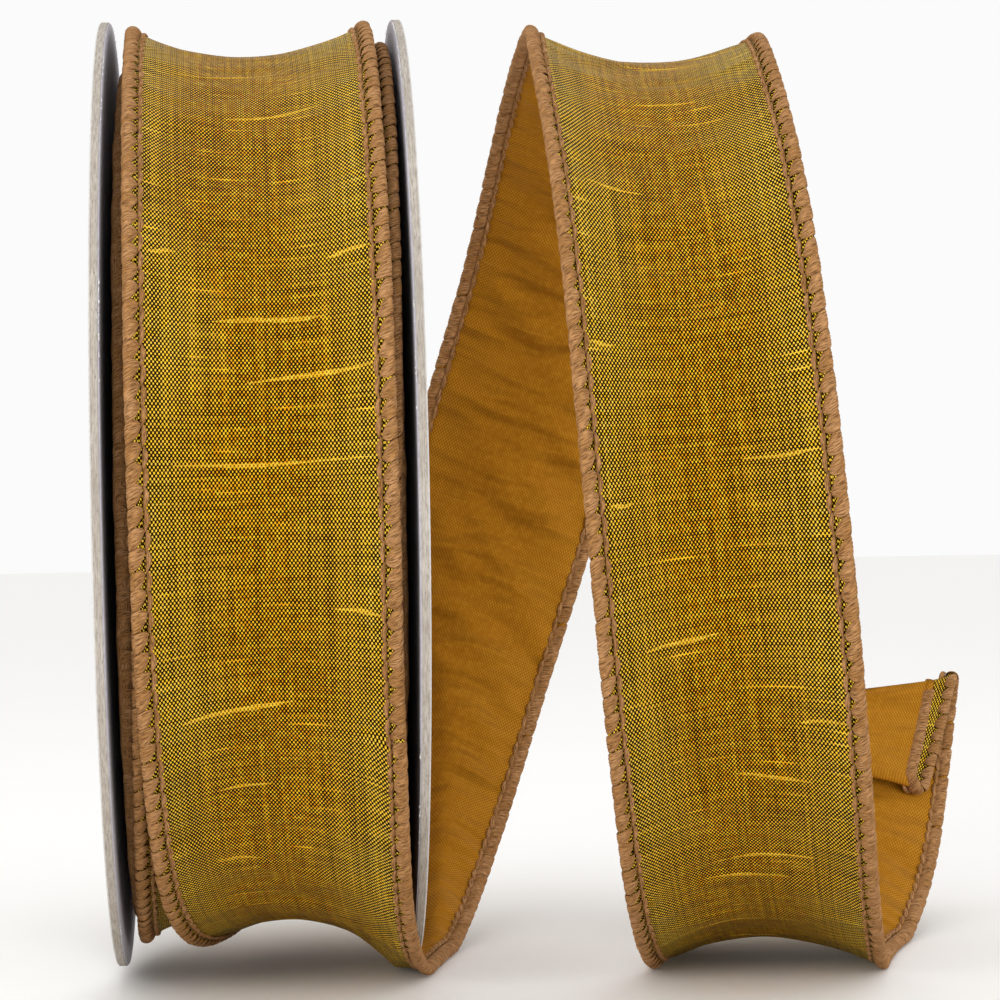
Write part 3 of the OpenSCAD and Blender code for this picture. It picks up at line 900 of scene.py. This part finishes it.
wound_steps = np.diff(spiral(turns, 0.0, wound_radius(turns)), axis=0)
wound_mm = np.concatenate([[0], np.cumsum(np.linalg.norm(wound_steps, axis=1))])
aa, uu = np.meshgrid(turns, np.linspace(-1, 1, WOUND_ACROSS + 1), indexing="ij")
sink = (WOUND_DIP_IN + (WOUND_DIP_OUT - WOUND_DIP_IN) * aa / turns[-1]) * (1 - uu**2)
r = wound_radius(aa) - 0.3 - sink
rings = np.concatenate(
    [spiral(aa, uu * WOUND_HALF, r + CLOTH_T / 2), spiral(aa, uu * WOUND_HALF, r - CLOTH_T / 2)[:, ::-1]], 1
)
flat = np.stack([uu * EDGE_SPAN / 2, np.broadcast_to(wound_mm[:, None], uu.shape)], -1)
one_ring = np.array([0] * WOUND_ACROSS + [1] * (WOUND_ACROSS + 2))
wound_cloth = new_piece(
    "wound_ribbon_cloth",
    rings,
    ring_faces(len(turns), 2 * (WOUND_ACROSS + 1)),
    [cloth_face, cloth_back],
    np.concatenate([flat, flat[:, ::-1]], 1),
    np.concatenate([np.tile(one_ring, len(turns) - 1), [0, 0]]),
)
wound_edges = []
for side, side_name in ((-1, "left"), (1, "right")):
    a = np.arange(8) * 2 * np.pi / 8
    wobble = np.random.default_rng(60 + side).uniform(-0.18, 0.18, len(turns))
    x = side * WOUND_EDGE_X + wobble[:, None] + 1.02 * np.cos(a)[None, :]
    cords = spiral(turns[:, None], x, wound_radius(turns)[:, None] + 0.60 * np.sin(a)[None, :])
    flat = np.stack(np.broadcast_arrays(a[None, :], wound_mm[:, None]), -1)
    inner = new_piece(f"wound_{side_name}_cords", cords, ring_faces(len(turns), 8), [thread], flat)
    top = np.linspace(turns[-1] - 2 * np.pi, turns[-1], 2000)
    line = spiral(top, side * WOUND_EDGE_X, wound_radius(top))
    top_track = make_track(line, line * [0, 1, 1], side)
    starts = np.arange(PITCH, top_track[0][-1] - PITCH, PITCH)
    skins, skin_flat = stitches(top_track, side, starts, np.random.default_rng(70 + side), CORD_FLAT)
    outer = new_piece(
        f"wound_{side_name}_stitching",
        skins, ring_faces(FAN_RINGS, FAN_TOP + FAN_UNDER, len(starts)), [thread], skin_flat,
    )
    wound_edges += [(inner, side_name), (outer, side_name)]
print("wound ribbon:", round(wound_mm[-1]), "mm in", WOUND_TURNS, "turns")

# %% [markdown]
# ## Chipboard and paper
# A spool like this is die-cut from grey chipboard that is lined with paper: bright white outside and
# a cool grey inside. The cut edge shows the pressed grey pulp with long fibres that run round the rim.
# The pattern is laid on unrolled coordinates: round the axis, along it and out from it.

# %% Board and paper finishes
RIM_MM = 70.0


def fibrous(name, dark, mid, light, per_mm, relief, roughness, speck=0.0):
    """Pressed or felted fibres; per_mm is how fine they are round, along and out from the axis."""
    material, tree, shader = new_material(name)
    place = add(tree, "ShaderNodeTexCoord").outputs["Object"]
    xyz = add(tree, "ShaderNodeSeparateXYZ", i0=place)
    angle = add(tree, "ShaderNodeMath", {"operation": "ARCTAN2"}, i0=xyz.outputs[1], i1=xyz.outputs[2])
    around_mm = add(
        tree, "ShaderNodeMath", {"operation": "MULTIPLY"}, i0=angle.outputs[0], i1=RIM_MM * per_mm[0],
    )
    along_mm = add(tree, "ShaderNodeMath", {"operation": "MULTIPLY"}, i0=xyz.outputs[0], i1=per_mm[1] / MM)
    flat_r = add(tree, "ShaderNodeCombineXYZ", i0=xyz.outputs[1], i1=xyz.outputs[2])
    radius = add(tree, "ShaderNodeVectorMath", {"operation": "LENGTH"}, i0=flat_r.outputs[0])
    out_mm = add(tree, "ShaderNodeMath", {"operation": "MULTIPLY"}, i0=radius.outputs[1], i1=per_mm[2] / MM)
    unrolled = add(
        tree, "ShaderNodeCombineXYZ", i0=around_mm.outputs[0], i1=along_mm.outputs[0], i2=out_mm.outputs[0]
    )
    fibre = add(
        tree, "ShaderNodeTexNoise", Vector=unrolled.outputs[0], Scale=1.0, Detail=4.0, Roughness=0.6,
    )
    cloud = add(tree, "ShaderNodeTexNoise", Vector=place, Scale=0.12 / MM, Detail=3.0)
    tone = add(
        tree, "ShaderNodeMapRange", {"clamp": True}, Value=fibre.outputs[0], From_Min=0.3, From_Max=0.62,
    )
    soft = add(
        tree, "ShaderNodeMapRange", {"clamp": True}, Value=cloud.outputs[0], From_Min=0.3, From_Max=0.7,
    )
    body = add(
        tree, "ShaderNodeMix", {"data_type": "RGBA"}, i0=soft.outputs[0], i6=linear(mid), i7=linear(light),
    )
    colour = add(
        tree, "ShaderNodeMix", {"data_type": "RGBA"}, i0=tone.outputs[0], i6=linear(dark),
        i7=body.outputs[2],
    )
    if speck:
        fleck = add(tree, "ShaderNodeTexNoise", Vector=unrolled.outputs[0], Scale=2.6, Detail=2.0)
        mask = add(
            tree, "ShaderNodeMapRange", {"clamp": True}, Value=fleck.outputs[0], From_Min=0.64, From_Max=0.70,
            To_Min=0.0, To_Max=speck,
        )
        colour = add(
            tree, "ShaderNodeMix", {"data_type": "RGBA"}, i0=mask.outputs[0], i6=colour.outputs[2],
            i7=linear("#4f463c"),
        )
    tree.links.new(colour.outputs[2], shader.inputs["Base Color"])
    bump = add(tree, "ShaderNodeBump", Strength=1.0, Distance=relief * MM, Height=fibre.outputs[0])
    tree.links.new(bump.outputs[0], shader.inputs["Normal"])
    shader.inputs["Roughness"].default_value = roughness
    shader.inputs["Specular IOR Level"].default_value = 0.3
    return material


chipboard = fibrous(
    "grey_chipboard_die_cut", "#8f857a", "#aaa196", "#c2bab0", (0.5, 4.5, 4.5), 0.10, 0.95, speck=0.75
)
white_liner = fibrous(
    "white_clay_coated_paper", "#cccac6", "#d9d7d4", "#e2e0dd", (1.6, 2.2, 1.6), 0.012, 0.6,
)
grey_liner = fibrous(
    "uncoated_grey_lining_paper", "#a9a6ae", "#bbb8c0", "#cac8cf", (1.2, 2.0, 1.2), 0.02, 0.9,
)
tube_board = fibrous(
    "spiral_wound_tube_board", "#83705a", "#9d8a72", "#b09d84", (0.4, 1.2, 3.0), 0.06, 0.95, speck=0.4,
)
kraft = fibrous("kraft_paper_wrap", "#a17f57", "#b8976d", "#c9aa80", (0.5, 2.4, 2.0), 0.02, 0.85)
tape = fibrous("creped_paper_tape", "#c3ad74", "#d6c28c", "#e2d2a2", (2.6, 0.3, 2.0), 0.05, 0.7)

# %% [markdown]
# ## Glue and wire
# Hot-melt glue sets as a cloudy amber bead, so light goes a short way into it. The wires in the
# edges are drawn steel: a metal with fine scratches along it. Both are nearly hidden, but they are
# seen through the bore and at the ribbon's cut end.

# %% Glue and wire finishes
hot_melt, tree, shader = new_material("hot_melt_glue_set_bead")
cloudy = add(tree, "ShaderNodeTexNoise", Scale=0.9 / MM, Detail=3.0)
place = add(tree, "ShaderNodeTexCoord").outputs["Object"]
tree.links.new(place, cloudy.inputs["Vector"])
amber = add(
    tree, "ShaderNodeMix", {"data_type": "RGBA"},
    i0=cloudy.outputs[0], i6=linear("#d3bd84"), i7=linear("#eee0b4"),
)
tree.links.new(amber.outputs[2], shader.inputs["Base Color"])
lump = add(tree, "ShaderNodeBump", Strength=0.7, Distance=0.15 * MM, Height=cloudy.outputs[0])
tree.links.new(lump.outputs[0], shader.inputs["Normal"])
shader.inputs["Roughness"].default_value = 0.28
shader.inputs["Subsurface Weight"].default_value = 0.3
shader.inputs["Subsurface Scale"].default_value = 1.0 * MM

steel, tree, shader = new_material("drawn_steel_wire")
place = add(tree, "ShaderNodeTexCoord").outputs["Object"]
drawn = add(tree, "ShaderNodeTexNoise", Scale=6.0 / MM, Detail=2.0)
tree.links.new(place, drawn.inputs["Vector"])
grey = add(
    tree, "ShaderNodeMix", {"data_type": "RGBA"},
    i0=drawn.outputs[0], i6=linear("#8f9296"), i7=linear("#c6c8cb"),
)
tree.links.new(grey.outputs[2], shader.inputs["Base Color"])
shader.inputs["Metallic"].default_value = 1.0
shader.inputs["Roughness"].default_value = 0.35

FINISHES = {
    chipboard: ["left_flange_board", "right_flange_board"],
    white_liner: ["left_outer_liner", "right_outer_liner"],
    grey_liner: ["left_inner_liner", "right_inner_liner"],
    tube_board: ["core_tube"],
    kraft: ["core_wrap"],
    tape: ["start_tape"],
    hot_melt: ["left_glue_fillet", "right_glue_fillet"],
    steel: ["left_edge_wire", "right_edge_wire"],
}
for material, names in FINISHES.items():
    for name in names:
        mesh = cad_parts[name].data
        mesh.materials.clear()
        mesh.materials.append(material)
        print(name, "->", material.name)

# %% [markdown]
# ## Torn paper at the rims
# A die tears the liners a little, so small white tongues of paper stand out at the rim in patches.
# They are cut as thin slivers: a root on the liner, a tip that lifts, and a slightly different
# length and lean for each.

# %% Torn paper
TEAR_R = 69.75
TEAR_UP = 0.42  # the longest tongue beyond the rim of the liner


def torn_rim(name, plane, lean_to, seed):
    """A patchy fringe of paper tongues round the rim, at a place along the axis."""
    rng = np.random.default_rng(seed)
    centres = rng.uniform(0, 360, 16)
    angles_ = np.concatenate([c + rng.normal(0, 2.2, rng.integers(4, 12)) for c in centres])
    wide = rng.uniform(0.15, 0.7, len(angles_)) / TEAR_R
    high = rng.uniform(0.2, 1.0, len(angles_)) * TEAR_UP
    q = np.linspace(0, 1, 5)[None, :, None]
    v = np.array([-1, 0, 1, 1, 0, -1])[None, None, :]
    skin = np.array([1, 1, 1, -1, -1, -1])[None, None, :]
    tip = rng.uniform(-0.5, 0.5, len(angles_))[:, None, None]
    width = wide[:, None, None] * (1 - 0.85 * q**1.5)
    angle = np.radians(angles_)[:, None, None] + width * v + tip * q * wide[:, None, None]
    r = TEAR_R - 0.25 + (high[:, None, None] + 0.25) * q + 0 * v
    x = plane + lean_to * (0.16 * q**2 * (1 + tip) + 0.05 + 0.04 * skin)
    points = spiral(angle, x, r)
    return new_piece(name, points, ring_faces(5, 6, len(angles_)), [white_liner])


HALF_W = 22.0
BOARD_IN = HALF_W - 1.2 - 0.02  # where the inner liner meets the board
tears = [
    torn_rim("left_rim_torn_paper", -BOARD_IN, 1, 21),
    torn_rim("right_rim_torn_paper", BOARD_IN, -1, 22),
]
print("torn tongues of paper:", sum(len(piece.data.polygons) // 26 for piece in tears))

# %% Riding on the bodies, and hiding the CAD parts they replace
for name, cloth in cloths.items():
    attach(cloth, "ribbon")
    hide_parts(name + "_web")
    for side_name in ("left", "right"):
        piece = stitching[name, side_name]
        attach(piece, "ribbon")
        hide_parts(f"{name}_{side_name}_edge")

for piece, side_name in wound_edges:
    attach(piece, "spool")
    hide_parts(f"wound_{side_name}_edge")
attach(wound_cloth, "spool")
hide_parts("wound_web")
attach(fold_cloth, "ribbon")
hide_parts("folded_end_web")
for piece, side_name in zip(fold_edges, ("left", "right")):
    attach(piece, "ribbon")
    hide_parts(f"folded_end_{side_name}_edge")
for piece in tears:
    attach(piece, "spool")
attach(slubs, "ribbon")
